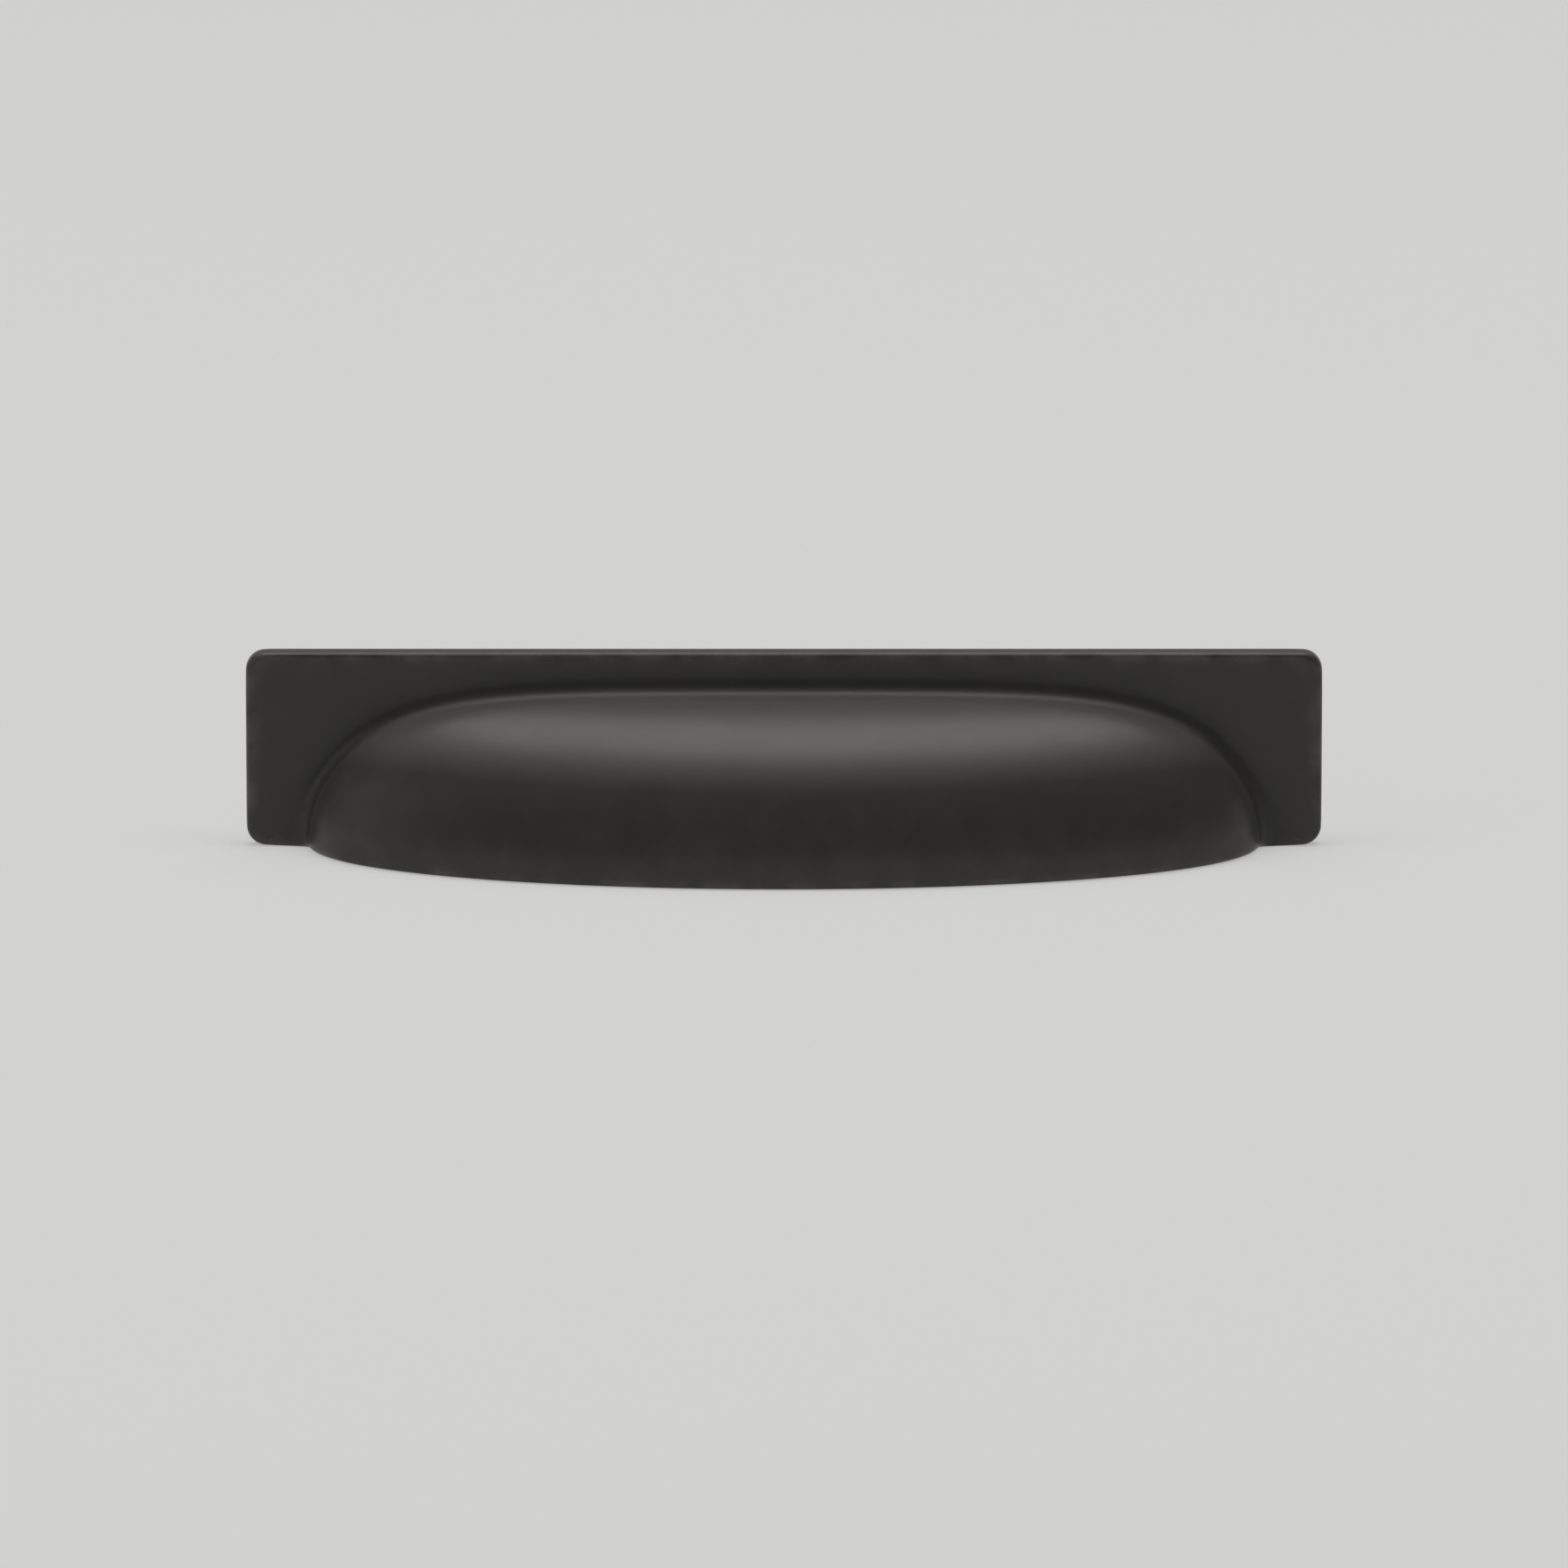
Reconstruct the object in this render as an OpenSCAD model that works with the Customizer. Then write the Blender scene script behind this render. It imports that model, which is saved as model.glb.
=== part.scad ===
// Cup pull: one casting with a backplate, a hood open below and behind, and two tapped bosses.
// X runs along the plate, +Y points into the drawer front, +Z is up.
// The origin is on the back face, halfway between the fixing holes.

/* [Backplate] */
// Width of the backplate
plate_w = 146; // [140:1:180]
// Height of the backplate
plate_h = 27; // [25.5:0.5:40]
// Thickness of the backplate
plate_t = 3; // [2.5:0.5:6]
// Radius of the corners seen from the front
corner_r = 3.5; // [1.5:0.5:6]

/* [Hood] */
// Width of the hood along its rim
hood_w = 129.5; // [126:0.5:136]
// Height of the hood above its rim
hood_h = 21.3; // [19:0.1:23.5]
// Depth of the hood in front of the backplate
hood_d = 24.5; // [22:0.5:34]
// Thickness of the hood's wall
wall = 2.5; // [2:0.1:3.5]
// Squareness of the arch on the plate, where 2 is an ellipse
arch_power = 5.2; // [3.2:0.1:7]

/* [Edges] */
// Rounding of the plate's front edge and of the rim
edge_r = 0.9; // [0.5:0.1:1]
// Radius of the hollow fillet between hood and plate
fillet_r = 1.8; // [0.8:0.1:2.5]

/* [Fixings] */
// Distance between the two fixing holes
hole_spacing = 96; // [64:1:100]
// Drop of the hole centres below the top of the hood
hole_drop = 7.8; // [7.4:0.1:11]
// Diameter of the tapped hole
hole_d = 3.3; // [2.5:0.1:4.2]
// Depth of the tapped hole
hole_depth = 10; // [6:0.5:11]
// Diameter of the boss round each hole
boss_d = 8; // [6.5:0.5:10]
// Width of the lead-in chamfer at the mouth of the hole
lead_in = 0.4; // [0.2:0.1:0.6]

/* [Hidden] */
// Steps along the arch, and from the plate to the front of the hood
arch_steps = 64;
depth_steps = 15;
// Steps across the fillet and across a rounded edge
fillet_steps = 5;
edge_steps = 4;
// How far a cut runs past a face
past = 1;
// Depth to which the fillet starts below the plate's front face
bite = 0.1;
// Angle of a drill's point
drill_point = 118;
// Height of the hole centres above the rim
hole_z = hood_h - hole_drop;

// Power that keeps the sign
function spow(v, p) = sign(v) * pow(abs(v), p);

// Point of an upright section of the hood, f being its share of the full height: level cuts are
// half ovals as wide as the arch is there
function section_at(w, h, f, a) =
    let (u = 1 - pow(f * sin(a), 2), k = u > 0 ? pow(u, 1 / arch_power - 0.5) : 0)
    f * [w * cos(a) * k, h * sin(a)];

// Outward direction of the arch on the plate
function arch_out(w, h, a) =
    let (g = [spow(cos(a), 2 - 2 / arch_power) * arch_power / 2 / w, sin(a) / h]) g / norm(g);

// A slice of the hood: [depth, share of the full arch, flare, outward direction at the rim]
function dome_slices(w, d, from) = [
    for (k = [0 : depth_steps])
        let (f = from + (90 - from) * k / depth_steps, g = [cos(f) / w, sin(f) / d])
        [d * sin(f), cos(f), 0, g / norm(g)]
];
function fillet_slices(d) = [
    for (k = [0 : fillet_steps - 1])
        let (b = 90 * k / fillet_steps, y = fillet_r * (1 - cos(b)) - bite)
        [y, sqrt(1 - pow(y / d, 2)), fillet_r * (1 - sin(b)), [sin(b), cos(b)]]
];

// Solid under a stack of slices, with its rim edge turned in (lip = 1) or out (lip = -1)
module stack(slices, w, h, lip, below) {
    last = len(slices) - 1;
    n = arch_steps;
    row = n + 1;
    tip = last * row;
    ring = 2 * last + 1;
    edges = [
        for (m = [1 : edge_steps])
            let (t = 90 * m / edge_steps)
            [edge_r * (1 - cos(t)) * lip, edge_r * (1 - sin(t))],
        if (below > 0) [edge_r * lip, -below]
    ];
    points = [
        for (s = slices, i = [0 : s == slices[last] ? 0 : n])
            let (
                a = 180 - 180 * i / n,
                q = section_at(w, h, s[1], a) + s[2] * arch_out(w, h, a)
            )
            [q.x, -plate_t - s[0], edge_r + q.y],
        for (e = edges, j = [0 : ring - 1])
            let (s = slices[min(j, ring - 1 - j)], side = sign(j - last), out = s[3])
            [
                side * (w * s[1] + s[2] - e.x * out.x),
                -plate_t - s[0] + e.x * out.y,
                e.y
            ]
    ];
    function at(k, i) = k == last ? tip : k * row + i;
    function rim(m, j) =
        m > 0 ? tip + 1 + (m - 1) * ring + j : j <= last ? at(j, 0) : at(2 * last - j, n);
    m_end = len(edges);
    left = [for (m = [m_end : -1 : 1]) rim(m, 0), for (i = [0 : n / 2]) at(0, i)];
    right = [for (m = [m_end : -1 : 1]) rim(m, ring - 1), for (i = [0 : n / 2]) at(0, n - i)];
    faces = [
        for (k = [0 : last - 1], i = [0 : n - 1]) [at(k, i), at(k, i + 1), at(k + 1, i)],
        for (k = [0 : last - 2], i = [0 : n - 1]) [at(k + 1, i), at(k, i + 1), at(k + 1, i + 1)],
        for (m = [0 : m_end - 1], j = [0 : ring - 2]) each [
            [rim(m, j), rim(m, j + 1), rim(m + 1, j)],
            [rim(m + 1, j), rim(m, j + 1), rim(m + 1, j + 1)]
        ],
        for (j = [0 : last - 1])
            [
                rim(m_end, j),
                rim(m_end, j + 1),
                if (j < last - 1) rim(m_end, ring - 2 - j),
                rim(m_end, ring - 1 - j)
            ],
        for (i = [0 : len(left) - 2])
            [
                left[i],
                right[i],
                if (i < len(left) - 2) right[i + 1],
                left[i + 1]
            ]
    ];
    polyhedron(points, faces);
}

module corner() {
    rotate([90, 0, 0]) rotate_extrude($fn = 32) {
        square([corner_r, plate_t - edge_r]);
        square([corner_r - edge_r, plate_t]);
        intersection() {
            translate([corner_r - edge_r, plate_t - edge_r]) circle(edge_r, $fn = 16);
            square([corner_r, plate_t]);
        }
    }
}

module plate() {
    hull()
        for (x = [corner_r - plate_w / 2, plate_w / 2 - corner_r], z = [corner_r, plate_h - corner_r])
            translate([x, 0, z]) corner();
}

module hood() {
    w = hood_w / 2;
    skirt = [past - plate_t, 1, fillet_r, [1, 0]];
    slices = concat([skirt], fillet_slices(hood_d), dome_slices(w, hood_d, asin(fillet_r / hood_d)));
    stack(slices, w, hood_h - edge_r, 1, 0);
}

module hollow() {
    w = hood_w / 2 - wall;
    d = hood_d - wall;
    back = [-plate_t - past, 1, 0, [1, 0]];
    stack(concat([back], dome_slices(w, d, 0)), w, hood_h - wall - edge_r, -1, past);
}

module at_fixings() {
    for (x = [-hole_spacing / 2, hole_spacing / 2])
        translate([x, 0, hole_z]) rotate([90, 0, 0]) children();
}

module bosses() {
    at_fixings() translate([0, 0, -2 * past]) cylinder(d = boss_d, h = plate_t + hood_d, $fn = 48);
}

module tapped_holes() {
    at_fixings() rotate_extrude($fn = 48) polygon([
        [0, -past],
        [hole_d / 2 + lead_in + past, -past],
        [hole_d / 2, lead_in],
        [hole_d / 2, hole_depth],
        [0, hole_depth + hole_d / 2 / tan(drill_point / 2)]
    ]);
}

module cup_pull() {
    color([0.21, 0.205, 0.2])
    translate([0, 0, -hole_z])
    difference() {
        union() {
            plate();
            hood();
        }
        difference() {
            hollow();
            bosses();
        }
        tapped_holes();
    }
}

cup_pull();
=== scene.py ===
# %% [markdown]
# # A cup pull in dark satin bronze
# This is the finger pull of a kitchen drawer: a flat backplate with a hood cast on its front.
# Fingers reach up under the hood, and two screws come through the drawer front from behind.
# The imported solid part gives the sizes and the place, and this lesson makes it look real.

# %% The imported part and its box
import math

import bmesh
import bpy
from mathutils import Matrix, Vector


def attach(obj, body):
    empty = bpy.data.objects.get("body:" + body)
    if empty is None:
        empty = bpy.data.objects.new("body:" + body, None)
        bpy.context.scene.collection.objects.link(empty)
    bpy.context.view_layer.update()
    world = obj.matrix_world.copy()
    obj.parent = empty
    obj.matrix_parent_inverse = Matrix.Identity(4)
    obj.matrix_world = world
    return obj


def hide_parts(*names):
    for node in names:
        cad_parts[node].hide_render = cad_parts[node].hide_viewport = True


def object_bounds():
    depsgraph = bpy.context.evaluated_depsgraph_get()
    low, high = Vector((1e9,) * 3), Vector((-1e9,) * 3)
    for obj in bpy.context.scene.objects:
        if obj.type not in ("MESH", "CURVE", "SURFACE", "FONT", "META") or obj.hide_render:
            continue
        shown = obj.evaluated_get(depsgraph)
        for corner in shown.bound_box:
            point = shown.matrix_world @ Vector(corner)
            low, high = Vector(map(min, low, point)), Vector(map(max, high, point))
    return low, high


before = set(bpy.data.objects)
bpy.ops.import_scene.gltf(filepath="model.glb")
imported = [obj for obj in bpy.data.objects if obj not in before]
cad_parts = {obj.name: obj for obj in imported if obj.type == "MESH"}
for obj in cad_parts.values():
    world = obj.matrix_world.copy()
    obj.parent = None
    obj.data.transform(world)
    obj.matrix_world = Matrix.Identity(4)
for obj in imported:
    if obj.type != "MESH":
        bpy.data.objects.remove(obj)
cad_box = [list(corner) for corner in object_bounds()]


def in_mm(box):
    """The two corners of a box in millimetres, for printing."""
    return [[round(c * 1000, 2) for c in corner] for corner in box]


print("solid part in mm:", in_mm(cad_box))

# %% [markdown]
# ## Camera
# The pull was photographed from straight in front and a little above, from far away through a
# long lens, so its sides hardly converge. A long lens far back gives the same flat view.

# %% Camera
MM = 0.001
look_down = math.radians(14.0)
distance = 2.5
frame_width = 211.8 * MM
film_width = 36
aim = Vector((0, -13.75, -2.08)) * MM
bpy.ops.object.camera_add(
    location=aim + distance * Vector((0, -math.cos(look_down), math.sin(look_down))),
    rotation=(math.pi / 2 - look_down, 0, 0),
)
camera = bpy.context.object
camera.name = "long_lens_camera"
camera.data.sensor_width = film_width
camera.data.lens = film_width * distance / frame_width
bpy.context.scene.camera = camera
print("lens in mm:", round(camera.data.lens, 1))

# %% [markdown]
# ## Floor and light
# A pale floor under the rim catches the soft shadow. It glows a little for the rays that see it,
# which makes it pale without more light on the pull. A satin metal shows what stands round it, so
# the lamps are shapes to be mirrored: a soft box overhead and a little behind draws the bright
# band along the top of the hood, and a weak one on the left lights the plate. A wide fill
# straight above brightens only the tone. It is hidden from reflections, where it would draw a
# second band.

# %% Floor
floor_z = cad_box[0][2]
bounce_grey = (0.54, 0.54, 0.54, 1)
seen_grey = (0.30, 0.30, 0.295, 1)
glow = (0.40, 0.40, 0.395, 1)
bpy.ops.mesh.primitive_plane_add(size=20, location=(0, 0, floor_z))
floor = bpy.context.object
floor.name = "floor"
floor_paint = bpy.data.materials.new("pale_floor")
floor_paint.use_nodes = True
paint = floor_paint.node_tree
matt = paint.nodes["Principled BSDF"].inputs
matt["Roughness"].default_value = 0.9
matt["Specular IOR Level"].default_value = 0.0
rays = paint.nodes.new("ShaderNodeLightPath").outputs
seen = None
for ray in ("Is Camera Ray", "Is Glossy Ray", "Is Transmission Ray"):
    either = paint.nodes.new("ShaderNodeMath")
    either.operation = "MAXIMUM"
    either.inputs[1].default_value = 0
    paint.links.new(rays[ray], either.inputs[0])
    if seen:
        paint.links.new(seen, either.inputs[1])
    seen = either.outputs[0]
pale = paint.nodes.new("ShaderNodeMix")
pale.data_type = "RGBA"
pale.inputs["A"].default_value = bounce_grey
pale.inputs["B"].default_value = seen_grey
paint.links.new(seen, pale.inputs["Factor"])
paint.links.new(pale.outputs["Result"], matt["Base Color"])
matt["Emission Color"].default_value = glow
paint.links.new(seen, matt["Emission Strength"])
floor.data.materials.append(floor_paint)
print("floor at mm:", round(floor_z * 1000, 2))

# %% Room light
world = bpy.data.worlds.new("pale_room")
bpy.context.scene.world = world
world.use_nodes = True
room = world.node_tree
toward = room.nodes.new("ShaderNodeSeparateXYZ")
room.links.new(room.nodes.new("ShaderNodeTexCoord").outputs["Generated"], toward.inputs[0])
height = room.nodes.new("ShaderNodeValToRGB")
walls, ceiling = height.color_ramp.elements
walls.position, ceiling.position = 0.05, 0.35
walls.color = (0.28, 0.28, 0.28, 1)
ceiling.color = (0.12, 0.12, 0.12, 1)
room.links.new(toward.outputs["Z"], height.inputs["Fac"])
room.links.new(height.outputs["Color"], room.nodes["Background"].inputs["Color"])
print("room:", [round(part.color[0], 2) for part in (walls, ceiling)], "from level to above")


# %% Lamps
def soft_box(name, place, wide, deep, watts):
    """An area lamp at a place, turned to face the pull."""
    place = Vector(place)
    bpy.ops.object.light_add(type="AREA", location=place)
    lamp = bpy.context.object
    lamp.name = name
    lamp.rotation_euler = (-place).to_track_quat("-Z", "Y").to_euler()
    lamp.data.shape = "RECTANGLE"
    lamp.data.size = wide
    lamp.data.size_y = deep
    lamp.data.energy = watts
    lamp.visible_camera = False
    return lamp


band = soft_box("overhead_soft_box", (0.05, 1.03, 2.82), wide=2.0, deep=1.68, watts=16.6)
fill = soft_box("top_fill", (0, -0.25, 3.0), wide=5.0, deep=1.2, watts=66)
fill.visible_glossy = False
side = soft_box("left_soft_box", (-3.2, -1.0, 1.4), wide=2.5, deep=2.5, watts=8)
bpy.context.scene.view_settings.view_transform = "Standard"
print("lamps:", [lamp.name for lamp in (band, fill, side)])

# %% [markdown]
# ## The hood
# The hood springs from the plate in an arch with a flat top and runs forward to an oval rim.
# Every level cut through it is half an oval, as wide as the arch is at that height. Rows lofted
# from the plate to the front would meet in a pole, which creases the shine. A ball made from a
# cube has no pole, so the hood starts as its upper front quarter, with the rows set wide beside
# the two cut edges, where the roundings need room later. Each point then moves out to the hood.

# %% Hand tools
def work_on(piece, pick="VERT"):
    """Opens a piece in edit mode with nothing selected."""
    bpy.ops.object.select_all(action="DESELECT")
    bpy.context.view_layer.objects.active = piece
    piece.select_set(True)
    bpy.ops.object.mode_set(mode="EDIT")
    bpy.ops.mesh.select_mode(type=pick)
    bpy.ops.mesh.select_all(action="DESELECT")


def choose(piece, kind, test):
    """Selects the vertices, edges or faces that pass a test, in edit mode, and counts them."""
    bpy.ops.mesh.select_all(action="DESELECT")
    mesh = bmesh.from_edit_mesh(piece.data)
    mesh.normal_update()
    found = [part for part in getattr(mesh, kind) if test(part)]
    for part in found:
        part.select_set(True)
    mesh.select_flush_mode()
    bmesh.update_edit_mesh(piece.data)
    return len(found)


def put_down():
    """Back to object mode."""
    bpy.ops.object.mode_set(mode="OBJECT")


# %% A quarter ball from a cube
cuts = 31
nearly_zero = 1e-4
row_power = 0.75  # below 1, the rows beside the two cut edges are wide
bpy.ops.mesh.primitive_cube_add(size=2)
quarter = bpy.context.object
quarter.name = "quarter_ball"
work_on(quarter)
bpy.ops.mesh.select_all(action="SELECT")
bpy.ops.mesh.subdivide(number_cuts=cuts)
choose(quarter, "verts", lambda v: v.co.y > nearly_zero or v.co.z < -nearly_zero)
bpy.ops.mesh.delete(type="VERT")
for v in bmesh.from_edit_mesh(quarter.data).verts:
    v.co.y = -abs(v.co.y) ** row_power
    v.co.z = abs(v.co.z) ** row_power
put_down()
ball = quarter.modifiers.new("ball", "CAST")
ball.cast_type = "SPHERE"
ball.factor = 1
ball.use_radius_as_size = False
ball.size = 1
bpy.ops.object.modifier_apply(modifier="ball")
print("quarter ball:", len(quarter.data.polygons), "faces")

# %% The shape of a hood
rim_z = cad_box[0][2]
plate_front = -3.0 * MM
arch_power = 5.2
edge_r = 0.9 * MM


def outside_hood(across, out, up):
    """True for a point beyond the hood, whose level cuts are half ovals as wide as the arch."""
    if up >= 1:
        return True
    left = 1 - up**2
    return (across / left ** (1 / arch_power)) ** 2 + out**2 / left > 1


def stretch(piece, half_width, depth, height, halvings=40):
    """Fills the quarter ball out to a hood: squarish at the plate, oval along the rim."""
    for v in piece.data.vertices:
        near, far = 0.9, 1.5
        for _ in range(halvings):
            middle = (near + far) / 2
            if outside_hood(*(middle * v.co)):
                far = middle
            else:
                near = middle
        across, out, up = near * v.co
        v.co.x = across * half_width
        v.co.y = plate_front + out * depth
        v.co.z = rim_z + (edge_r + up * (height - edge_r) if up > nearly_zero else 0)


print("arch power:", arch_power, "and 2 would be an ellipse")

# %% The outside and the inside of the hood
hood_half, hood_d, hood_h, wall = 64.75 * MM, 24.5 * MM, 21.3 * MM, 2.5 * MM
swell = 0.09 * MM  # what the last smoothing takes off a bulge
bpy.ops.object.select_all(action="DESELECT")
quarter.select_set(True)
bpy.context.view_layer.objects.active = quarter
bpy.ops.object.duplicate()
inside = bpy.context.object
bpy.ops.object.duplicate()
core = bpy.context.object
casting = quarter
casting.name = "cup_pull_casting"
casting.data.materials.append(bpy.data.materials.new("outside"))
inside.data.materials.append(bpy.data.materials.new("inside"))
stretch(casting, hood_half + swell, hood_d + swell, hood_h + swell / 2)
stretch(inside, hood_half - wall, hood_d - wall, hood_h - wall)
print("hood:", len(casting.data.vertices), "points outside and inside")

# %% [markdown]
# ## The backplate
# The plate is a flat bar with small round corners, and hood and plate are one casting. The arch
# at the back of the hood is extruded outwards to the outline of the plate and then back to the
# drawer front, so that both are one skin. The inside is extruded back as well, and the open
# edges are bridged to close the casting.

# %% Outline of the plate
plate_half, plate_top, corner_r = 73 * MM, cad_box[1][2], 2.7 * MM
corner_steps, side_steps, top_steps = 6, 4, 32


def corner(x, z, start):
    """Points of a round plate corner about its centre, from an angle a quarter turn clockwise."""
    turns = [math.radians(start - 90 * i / corner_steps) for i in range(corner_steps + 1)]
    return [(x + corner_r * math.cos(t), z + corner_r * math.sin(t)) for t in turns]


inset_x = plate_half - corner_r
low_corner = corner(-inset_x, rim_z + corner_r, 270)
high_corner = corner(-inset_x, plate_top - corner_r, 180)
(side_x, low_z), (_, high_z) = low_corner[-1], high_corner[0]
side_z = [low_z + (high_z - low_z) * i / side_steps for i in range(1, side_steps)]
left_side = low_corner + [(side_x, z) for z in side_z] + high_corner
top_x = [-inset_x + 2 * inset_x * i / top_steps for i in range(1, top_steps)]
right_side = [(-x, z) for x, z in reversed(left_side)]
outline = left_side + [(x, plate_top) for x in top_x] + right_side
print("outline points:", len(outline))

# %% Plate grown from the arch
MICRON = 1e-6


def along_arch(edge):
    """True for an open edge along the arch on the plate."""
    return edge.is_boundary and all(v.co.y > plate_front - MICRON for v in edge.verts)


def extrude_back(piece, far):
    """Opens a hood and extrudes its arch back by a distance, which stays selected."""
    work_on(piece, "EDGE")
    choose(piece, "edges", along_arch)
    bpy.ops.mesh.extrude_region_move(TRANSFORM_OT_translate={"value": (0, far, 0)})


extrude_back(casting, 0)
chain = [v for v in bmesh.from_edit_mesh(casting.data).verts if v.select]
chain.sort(key=lambda v: -math.atan2(v.co.z - rim_z, v.co.x))
for v, (x, z) in zip(chain, outline):
    v.co.x, v.co.z = x, z
bmesh.update_edit_mesh(casting.data)
bpy.ops.mesh.extrude_region_move(TRANSFORM_OT_translate={"value": (0, -plate_front, 0)})
put_down()
extrude_back(inside, -plate_front)
put_down()
print("arch points:", len(chain))


# %% One closed skin
def on_back(edge):
    """True for an edge that lies in the back face."""
    return all(abs(v.co.y) < MICRON for v in edge.verts)


def along_rim(edge):
    """True for an edge of the rim in front of the plate."""
    level = all(abs(v.co.z - rim_z) < MICRON for v in edge.verts)
    return level and any(v.co.y < plate_front - 10 * MICRON for v in edge.verts)


casting.select_set(True)
bpy.context.view_layer.objects.active = casting
bpy.ops.object.join()
work_on(casting, "EDGE")
for side_by_side in (along_rim, on_back):
    choose(casting, "edges", lambda e: e.is_boundary and side_by_side(e))
    bpy.ops.mesh.bridge_edge_loops()
bpy.ops.mesh.select_all(action="SELECT")
bpy.ops.mesh.fill_holes(sides=0)
bpy.ops.mesh.select_all(action="SELECT")
bpy.ops.mesh.normals_make_consistent(inside=False)
open_edges = choose(casting, "edges", lambda e: not e.is_manifold)
print("casting:", len(casting.data.polygons), "faces,", open_edges, "open edges")

# %% [markdown]
# ## Roundings
# A casting has no sharp corners. The hollow corner between hood and plate is rounded first, which
# also gives the rim its soft S where it leaves the plate. Then come the edges that a hand meets,
# and last the back edges, which are only broken. One level of subdivision smooths the whole skin.

# %% Fillet, front edges, rim and back edges
fillet_r, back_r = 2.4 * MM, 0.3 * MM
sharp = 0.8  # radians between the two faces of an edge


def turn(edge):
    """Angle between an edge's two faces, positive where the edge stands out."""
    return edge.calc_face_angle_signed(0)


def round_edges(piece, test, radius, segments):
    """Rounds the edges that pass a test and counts them."""
    count = choose(piece, "edges", test)
    bpy.ops.mesh.bevel(
        offset=radius, segments=segments, profile=0.5, affect="EDGES", clamp_overlap=False
    )
    return count


fillets = round_edges(casting, lambda e: turn(e) < -sharp, fillet_r, 4)
fronts = round_edges(casting, lambda e: turn(e) > sharp and not on_back(e), edge_r, 3)
backs = round_edges(casting, lambda e: turn(e) > sharp and on_back(e), back_r, 2)
put_down()
smooth = casting.modifiers.new("smooth", "SUBSURF")
smooth.levels = smooth.render_levels = 1
bpy.ops.object.modifier_apply(modifier="smooth")
print("rounded edges:", fillets, fronts, backs, "faces:", len(casting.data.polygons))

# %% [markdown]
# ## Fixing bosses
# Behind, two round bosses stand in the hollow and take the screws. They taper a little, so that
# the casting leaves its mould, and they end inside the wall of the hood. Each starts as a cone,
# is trimmed by a solid that ends halfway through the wall, and is then united with the casting.
# The solid's back and its level bottom are two faces: one face over both would cut across.

# %% A trimming solid halfway into the wall
past = 1 * MM
core.name = "core"
stretch(core, hood_half - wall / 2, hood_d - wall / 2, hood_h - wall / 2)
extrude_back(core, -plate_front + past)
bpy.ops.mesh.edge_face_add()
bpy.ops.mesh.select_all(action="SELECT")
bpy.ops.mesh.fill_holes(sides=0)
bpy.ops.mesh.select_all(action="SELECT")
bpy.ops.mesh.normals_make_consistent(inside=False)
put_down()
caps = [len(face.vertices) for face in core.data.polygons if len(face.vertices) > 4]
print("core:", len(core.data.polygons), "faces, corners of its back and its bottom:", caps)

# %% One boss, copied to the other side
hole_x = 48 * MM
boss_r, boss_root_r, boss_edge_r = 4 * MM, 4.3 * MM, 0.3 * MM
boss_length, boss_recess = 24 * MM, 0.15 * MM


def copy_across():
    """Copies the piece at the left hole to the right one."""
    bpy.ops.object.duplicate()
    bpy.ops.transform.translate(value=(2 * hole_x, 0, 0))
    bpy.ops.object.transform_apply(location=True, rotation=True, scale=True)
    return bpy.context.object


bpy.ops.object.select_all(action="DESELECT")
bpy.ops.mesh.primitive_cone_add(
    vertices=64, radius1=boss_r, radius2=boss_root_r, depth=boss_length,
    location=(-hole_x, -boss_length / 2 - boss_recess, 0), rotation=(math.pi / 2, 0, 0),
)
boss = bpy.context.object
boss.name = "boss"
bpy.ops.object.transform_apply(location=True, rotation=True, scale=True)
work_on(boss, "EDGE")
boss_end = -boss_recess - MICRON
round_edges(boss, lambda e: all(v.co.y > boss_end for v in e.verts), boss_edge_r, 3)
put_down()
copy_across()
boss.select_set(True)
bpy.context.view_layer.objects.active = boss
bpy.ops.object.join()
for skin in casting.data.materials:
    boss.data.materials.append(skin)
for face in boss.data.polygons:
    face.material_index = 1
print("bosses:", len(boss.data.polygons), "faces")


# %% Bosses on the casting
def combine(piece, tool, how):
    """Unites a piece with a tool, cuts it by the tool or keeps what both share; the tool goes."""
    bpy.ops.object.select_all(action="DESELECT")
    bpy.context.view_layer.objects.active = piece
    piece.select_set(True)
    step = piece.modifiers.new(how.lower(), "BOOLEAN")
    step.operation = how
    step.solver = "EXACT"
    step.object = tool
    bpy.ops.object.modifier_apply(modifier=step.name)
    bpy.data.objects.remove(tool)


combine(boss, core, "INTERSECT")
combine(casting, boss, "UNION")
print("casting with bosses:", len(casting.data.polygons), "faces")

# %% [markdown]
# ## Tapped holes
# Each boss is drilled and tapped for a machine screw: a lead-in at the mouth, a right-hand
# thread, a plain end and the drill's pointed bottom. The cutter is a cylinder sliced into thin
# rings, whose points are drawn out by the thread's profile as it winds down the hole.

# %% The thread's profile
drill_r, thread_r, pitch = 1.65 * MM, 2.0 * MM, 0.7 * MM
hole_depth, thread_depth, lead_in = 10 * MM, 8.6 * MM, 0.4 * MM
tooth_height, flank = 1.9, 5.2  # a tooth before its tip and its foot are cut flat


def held(value):
    """A value held between 0 and 1."""
    return max(0, min(1, value))


def thread_out(down, angle):
    """Radius of the cutter at a depth below the boss's face and an angle round the hole."""
    along = (down / pitch - angle / (2 * math.pi)) % 1
    tooth = held(tooth_height - abs(along - 0.5) * flank)
    fade = held((thread_depth - down) / pitch)
    return max(drill_r + (thread_r - drill_r) * tooth * fade, drill_r + lead_in - down)


print("thread turns:", round(thread_depth / pitch, 1))

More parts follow.
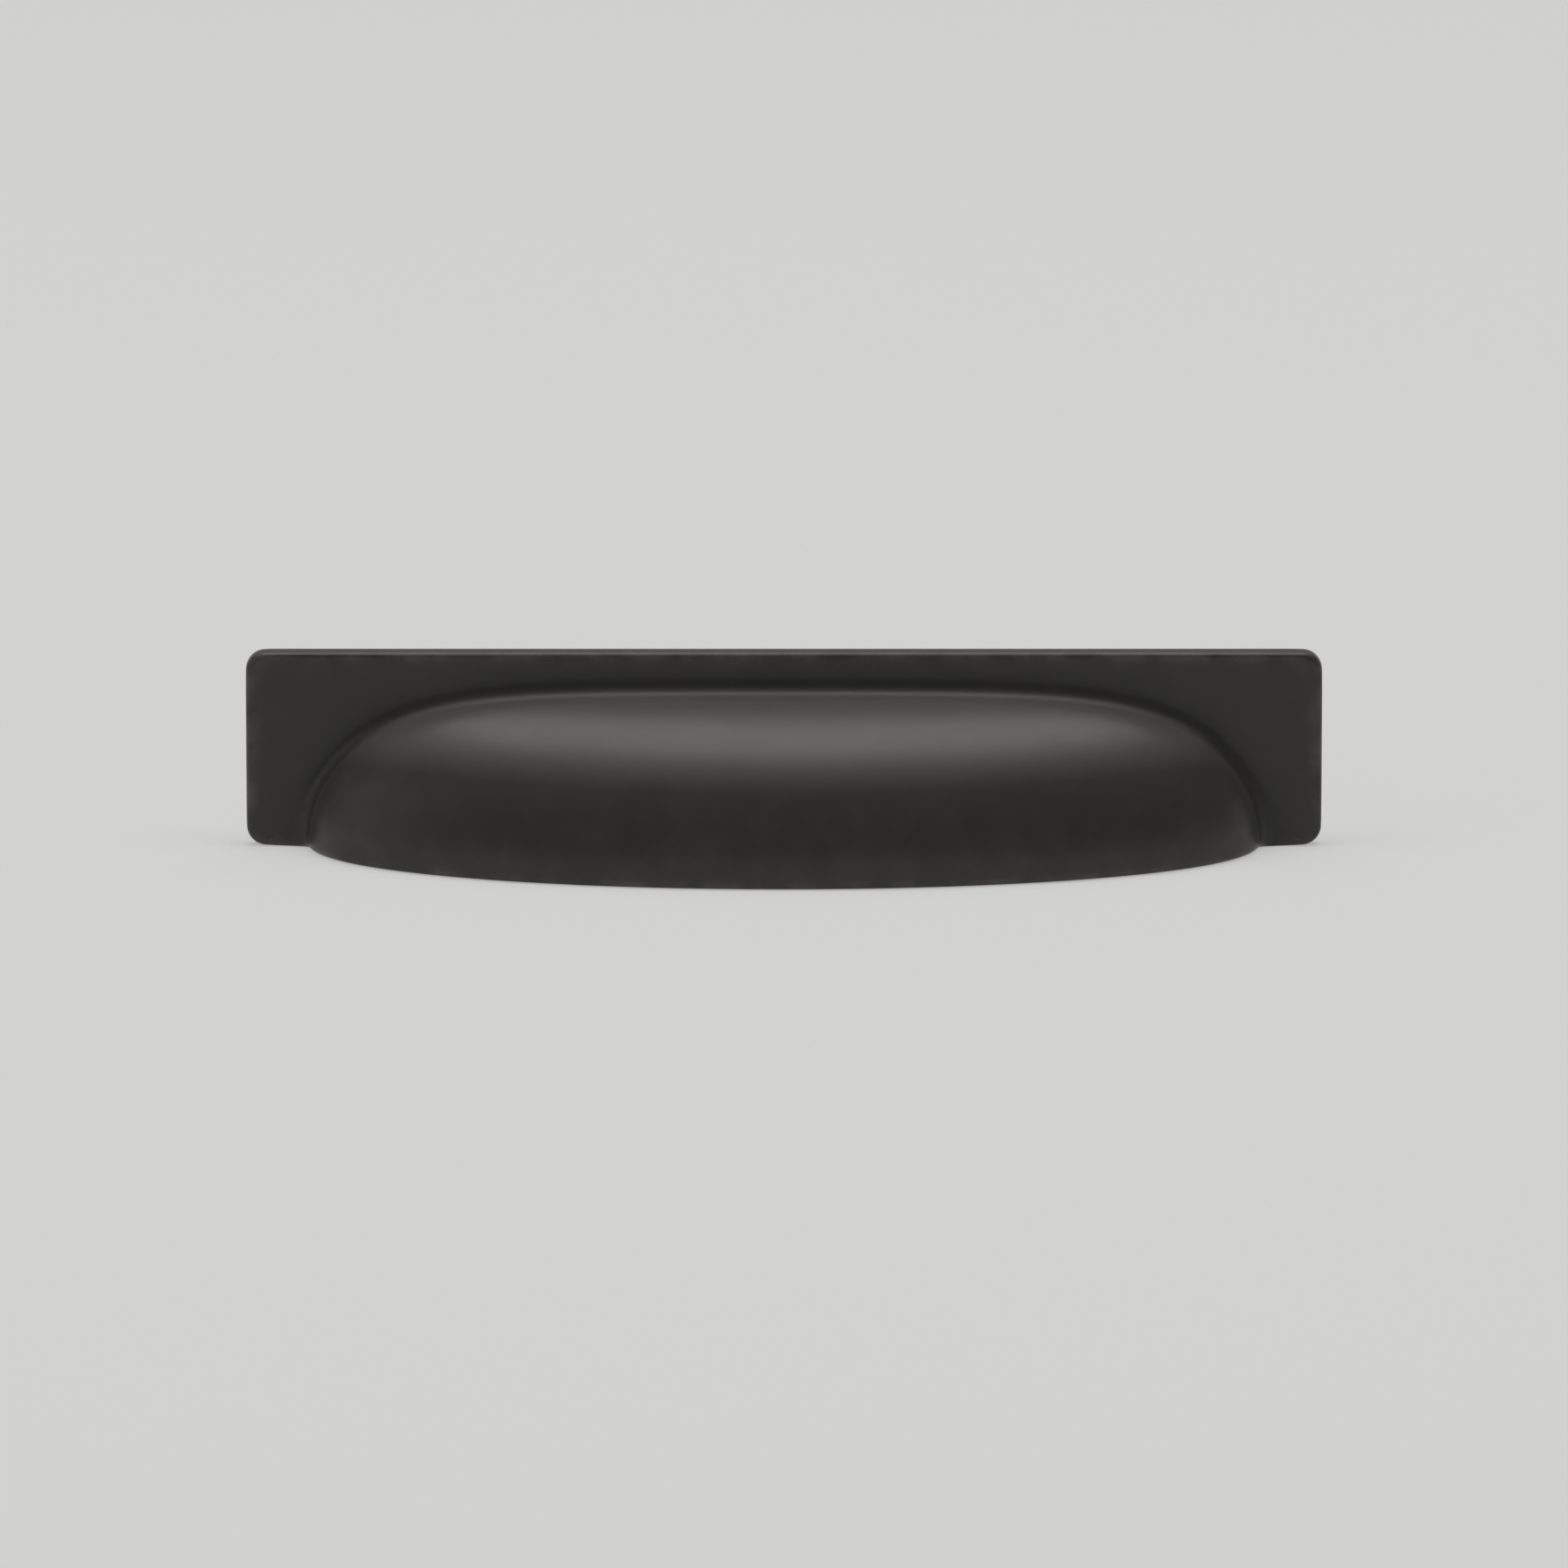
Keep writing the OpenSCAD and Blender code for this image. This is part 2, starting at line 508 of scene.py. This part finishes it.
# %% The tap
mouth = 0.4 * MM
rings = 104
drill_point = math.radians(118)
tap_length = hole_depth + mouth
bpy.ops.object.select_all(action="DESELECT")
bpy.ops.mesh.primitive_cylinder_add(
    vertices=40, radius=drill_r, depth=tap_length, end_fill_type="TRIFAN",
    location=(-hole_x, -boss_recess + mouth - tap_length / 2, 0), rotation=(math.pi / 2, 0, 0),
)
tap = bpy.context.object
tap.name = "tap"
bpy.ops.object.transform_apply(location=True, rotation=True, scale=True)
work_on(tap, "EDGE")
choose(tap, "edges", lambda e: abs(e.verts[0].co.y - e.verts[1].co.y) > tap_length / 2)
bpy.ops.mesh.subdivide(number_cuts=rings - 1)
for v in bmesh.from_edit_mesh(tap.data).verts:
    down = -boss_recess - v.co.y
    across, up = v.co.x + hole_x, v.co.z
    out = math.hypot(across, up)
    if out > MICRON:
        grow = thread_out(down, math.atan2(-across, up)) / out
        v.co.x, v.co.z = -hole_x + across * grow, up * grow
    elif down > 0:
        v.co.y -= drill_r / math.tan(drill_point / 2)
put_down()
other_tap = copy_across()
combine(casting, tap, "DIFFERENCE")
combine(casting, other_tap, "DIFFERENCE")
print("tapped casting:", len(casting.data.polygons), "faces")

# %% [markdown]
# ## Painted top light, painted shade in the hollow, and worn edges
# The top that faces up is painted a lighter brown, a painted highlight for the light from above,
# and the hollow round the arch is painted darker, a painted shade in the crease there.
# The edges that hands meet wear through in patches. Painting by hand would do, but three
# numbers written into the mesh say the same: how far a point faces up, lies in a hollow or
# stands on an edge.

# %% Three numbers written into the mesh
# painted shade in the crease reaches full strength at this inward turn
full_edge, full_hollow = 0.26, 0.15  # radians
# painted highlight: the top is painted lighter from this upward lean of the surface on
top_light_from, top_light_over = 0.63, 0.21
work_on(casting)
mesh = bmesh.from_edit_mesh(casting.data)
mesh.normal_update()
rub = mesh.verts.layers.float.new("rub")
painted_top_light = mesh.verts.layers.float.new("painted_top_light")
hollow = mesh.verts.layers.float.new("hollow")
for v in mesh.verts:
    turns = [turn(e) for e in v.link_edges if e.is_manifold]
    v[rub] = held(max(turns, default=0) / full_edge)
    # painted highlight: how far the point faces up
    v[painted_top_light] = held((v.normal.z - top_light_from) / top_light_over)
    # painted shade: how far the point lies in the hollow corner round the arch, off the top
    v[hollow] = held(-min(turns, default=0) / full_hollow) * (1 - v[painted_top_light])
marked = [sum(v[number] > 0.5 for v in mesh.verts) for number in (rub, painted_top_light, hollow)]
bmesh.update_edit_mesh(casting.data)
put_down()
print("points on edges, crown and in hollows:", marked)

# %% [markdown]
# ## Satin outside
# Dark bronze is a brown-black skin on the metal, rubbed to a satin. It is part oxide and part
# bare metal, so it has a little colour of its own and a soft shine over it. The tone drifts in
# clouds of a few millimetres, the shine in smaller ones, and a fine grain breaks it up. A picture
# of metal would show its edges and repeat, so the clouds come from noise in the piece's own
# space. A trace of sheen stands for the haze on the skin.


# %% Nodes that start a finish
def finish_nodes(name):
    """A new material, its node tree, its shader's sockets and the piece's own coordinates."""
    material = bpy.data.materials.new(name)
    material.use_nodes = True
    tree = material.node_tree
    place = tree.nodes.new("ShaderNodeTexCoord").outputs["Object"]
    return material, tree, tree.nodes["Principled BSDF"].inputs, place


def clouds(tree, place, size, detail=2.0, roughness=0.5):
    """Noise whose clouds are about as large as size, in metres."""
    noise = tree.nodes.new("ShaderNodeTexNoise")
    noise.inputs["Scale"].default_value = 1 / size
    noise.inputs["Detail"].default_value = detail
    noise.inputs["Roughness"].default_value = roughness
    tree.links.new(place, noise.inputs["Vector"])
    return noise.outputs["Fac"]


def written(tree, name):
    """The number that was written into the mesh under a name."""
    number = tree.nodes.new("ShaderNodeAttribute")
    number.attribute_name = name
    return number.outputs["Fac"]


# %% Nodes for tone, shine and bumps
def ramp(tree, value, first, last, low=0.35, high=0.65):
    """Turns a value from low to high into a blend of two colours."""
    step = tree.nodes.new("ShaderNodeValToRGB")
    step.color_ramp.elements[0].position = low
    step.color_ramp.elements[1].position = high
    step.color_ramp.elements[0].color = (*first, 1)
    step.color_ramp.elements[1].color = (*last, 1)
    tree.links.new(value, step.inputs["Fac"])
    return step.outputs["Color"]


def blend(tree, share, first, last):
    """A mix of two tones, by a share from 0 to 1."""
    mix = tree.nodes.new("ShaderNodeMix")
    mix.data_type = "RGBA"
    for socket, value in (("Factor", share), ("A", first), ("B", last)):
        tree.links.new(value, mix.inputs[socket])
    return mix.outputs["Result"]


def spread(tree, value, first, last, low=0.3, high=0.7):
    """Turns a value from low to high into a number from first to last."""
    step = tree.nodes.new("ShaderNodeMapRange")
    ends = {"From Min": low, "From Max": high, "To Min": first, "To Max": last}
    for socket, number in ends.items():
        step.inputs[socket].default_value = number
    tree.links.new(value, step.inputs["Value"])
    return step.outputs["Result"]


def relief(tree, height, deep, strength, under=None):
    """Bumps of a height map, deep in metres, on top of other bumps."""
    bump = tree.nodes.new("ShaderNodeBump")
    bump.inputs["Distance"].default_value = deep
    bump.inputs["Strength"].default_value = strength
    tree.links.new(height, bump.inputs["Height"])
    if under:
        tree.links.new(under, bump.inputs["Normal"])
    return bump.outputs["Normal"]


# %% Tone of the outside
bronze, tree, skin, place = finish_nodes("dark_satin_bronze")
drift = clouds(tree, place, 9 * MM, detail=5, roughness=0.6)
dark = ramp(tree, drift, (0.0450, 0.0434, 0.0411), (0.0492, 0.0474, 0.0449))
# painted shade: the darker tone painted into the hollow round the arch
deep = ramp(tree, drift, (0.0355, 0.0342, 0.0324), (0.0390, 0.0376, 0.0356))
# painted highlight: the lighter tone painted on the top that faces up
light = ramp(tree, drift, (0.100, 0.0939, 0.0870), (0.107, 0.1005, 0.0931))
# painted shade laid into the hollow round the arch
tone = blend(tree, written(tree, "hollow"), dark, deep)
# painted highlight laid over the top that faces up
tone = blend(tree, written(tree, "painted_top_light"), tone, light)
patches = spread(tree, clouds(tree, place, 4 * MM, detail=3), 0.05, 0.6, low=0.4, high=0.65)
patchy = tree.nodes.new("ShaderNodeMath")
patchy.operation = "MULTIPLY"
tree.links.new(written(tree, "rub"), patchy.inputs[0])
tree.links.new(patches, patchy.inputs[1])
worn = tree.nodes.new("ShaderNodeMix")
worn.data_type = "RGBA"
worn.inputs["B"].default_value = (0.135, 0.124, 0.110, 1)
tree.links.new(patchy.outputs[0], worn.inputs["Factor"])
tree.links.new(tone, worn.inputs["A"])
tree.links.new(worn.outputs["Result"], skin["Base Color"])
print("tone of the outside:", len(tree.nodes), "nodes")

# %% Shine of the outside
satin = spread(tree, clouds(tree, place, 3 * MM, detail=4, roughness=0.6), 0.32, 0.37)
tree.links.new(satin, skin["Roughness"])
hand_polish = relief(tree, clouds(tree, place, 5 * MM, detail=1), 0.06 * MM, 0.06)
grain = relief(tree, clouds(tree, place, 0.35 * MM), 0.01 * MM, 0.2, hand_polish)
tree.links.new(grain, skin["Normal"])
skin["Metallic"].default_value = 0.25
skin["Specular IOR Level"].default_value = 0.4
skin["Sheen Weight"].default_value = 0.08
skin["Sheen Roughness"].default_value = 0.4
casting.data.materials[0] = bronze
print("outside finish:", len(tree.nodes), "nodes")

# %% [markdown]
# ## Sandy inside
# Nobody polishes the hollow, so its skin lies on the metal as it came from the sand: duller,
# with a slow waviness and fine grains. Grains as geometry would be far too many, so two layers
# of bumps stand for them, a wide one under a fine one.

# %% As cast
cast_bronze, tree, skin, place = finish_nodes("as_cast_bronze")
stains = clouds(tree, place, 6 * MM, detail=5, roughness=0.65)
tone = ramp(tree, stains, (0.052, 0.050, 0.0468), (0.074, 0.071, 0.067))
tree.links.new(tone, skin["Base Color"])
dull = spread(tree, clouds(tree, place, 2 * MM, detail=4, roughness=0.6), 0.5, 0.66)
tree.links.new(dull, skin["Roughness"])
flow = relief(tree, clouds(tree, place, 7 * MM), 0.15 * MM, 0.4)
grains = clouds(tree, place, 0.55 * MM, detail=4, roughness=0.65)
tree.links.new(relief(tree, grains, 0.08 * MM, 0.5, flow), skin["Normal"])
skin["Metallic"].default_value = 0.25
skin["Specular IOR Level"].default_value = 0.1
casting.data.materials[1] = cast_bronze
print("inside finish:", len(tree.nodes), "nodes")

# %% [markdown]
# ## Ground back
# The back has to lie flat on the drawer front, so it is ground on a belt, which leaves fine lines
# along the plate. Noise that is drawn out fifty times along the plate gives such lines, and one
# and the same noise drives the tone, the shine and the bumps, as a real scratch does.

# %% Belt lines
ground_bronze, tree, skin, place = finish_nodes("ground_bronze")
drawn_out = tree.nodes.new("ShaderNodeMapping")
drawn_out.inputs["Scale"].default_value = (0.02, 1, 1)
tree.links.new(place, drawn_out.inputs["Vector"])
lines = clouds(tree, drawn_out.outputs["Vector"], 0.4 * MM, detail=3, roughness=0.6)
tone = ramp(tree, lines, (0.040, 0.0385, 0.0364), (0.060, 0.0577, 0.0545))
tree.links.new(tone, skin["Base Color"])
tree.links.new(spread(tree, lines, 0.34, 0.50), skin["Roughness"])
tree.links.new(relief(tree, lines, 0.02 * MM, 0.3), skin["Normal"])
skin["Metallic"].default_value = 0.35
skin["Specular IOR Level"].default_value = 0.4
casting.data.materials.append(ground_bronze)
print("back finish:", len(tree.nodes), "nodes")

# %% The faces that the belt meets
flat = 0.997  # the broken edges lean more than this
belt_reach = -0.2 * MM


def on_belt(face):
    """True for a flat face at the back, those of the bosses among them."""
    return face.normal.y > flat and face.calc_center_median().y > belt_reach


work_on(casting, "FACE")
ground = choose(casting, "faces", on_belt)
casting.active_material_index = 2
bpy.ops.object.material_slot_assign()
put_down()
print("slots:", [m.name for m in casting.data.materials], "ground faces:", ground)

# %% [markdown]
# ## Shading
# Polished metal shows every facet, so the faces are shaded smooth, except across edges that are
# really sharp, as in the thread. A large flat face would then look bulged beside its rounded
# edges. Normals weighted by the size of the faces keep it flat.

# %% Smooth shading
sharp_edge = math.radians(35)
bpy.ops.object.select_all(action="DESELECT")
casting.select_set(True)
bpy.context.view_layer.objects.active = casting
bpy.ops.object.shade_smooth_by_angle(angle=sharp_edge)
shading = casting.modifiers.new("flat_faces_stay_flat", "WEIGHTED_NORMAL")
shading.keep_sharp = True
bpy.ops.object.modifier_apply(modifier=shading.name)
print("shaded:", len(casting.data.polygons), "faces")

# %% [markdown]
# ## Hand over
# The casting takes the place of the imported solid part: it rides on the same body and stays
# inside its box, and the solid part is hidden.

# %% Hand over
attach(casting, "root")
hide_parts("cup_pull")
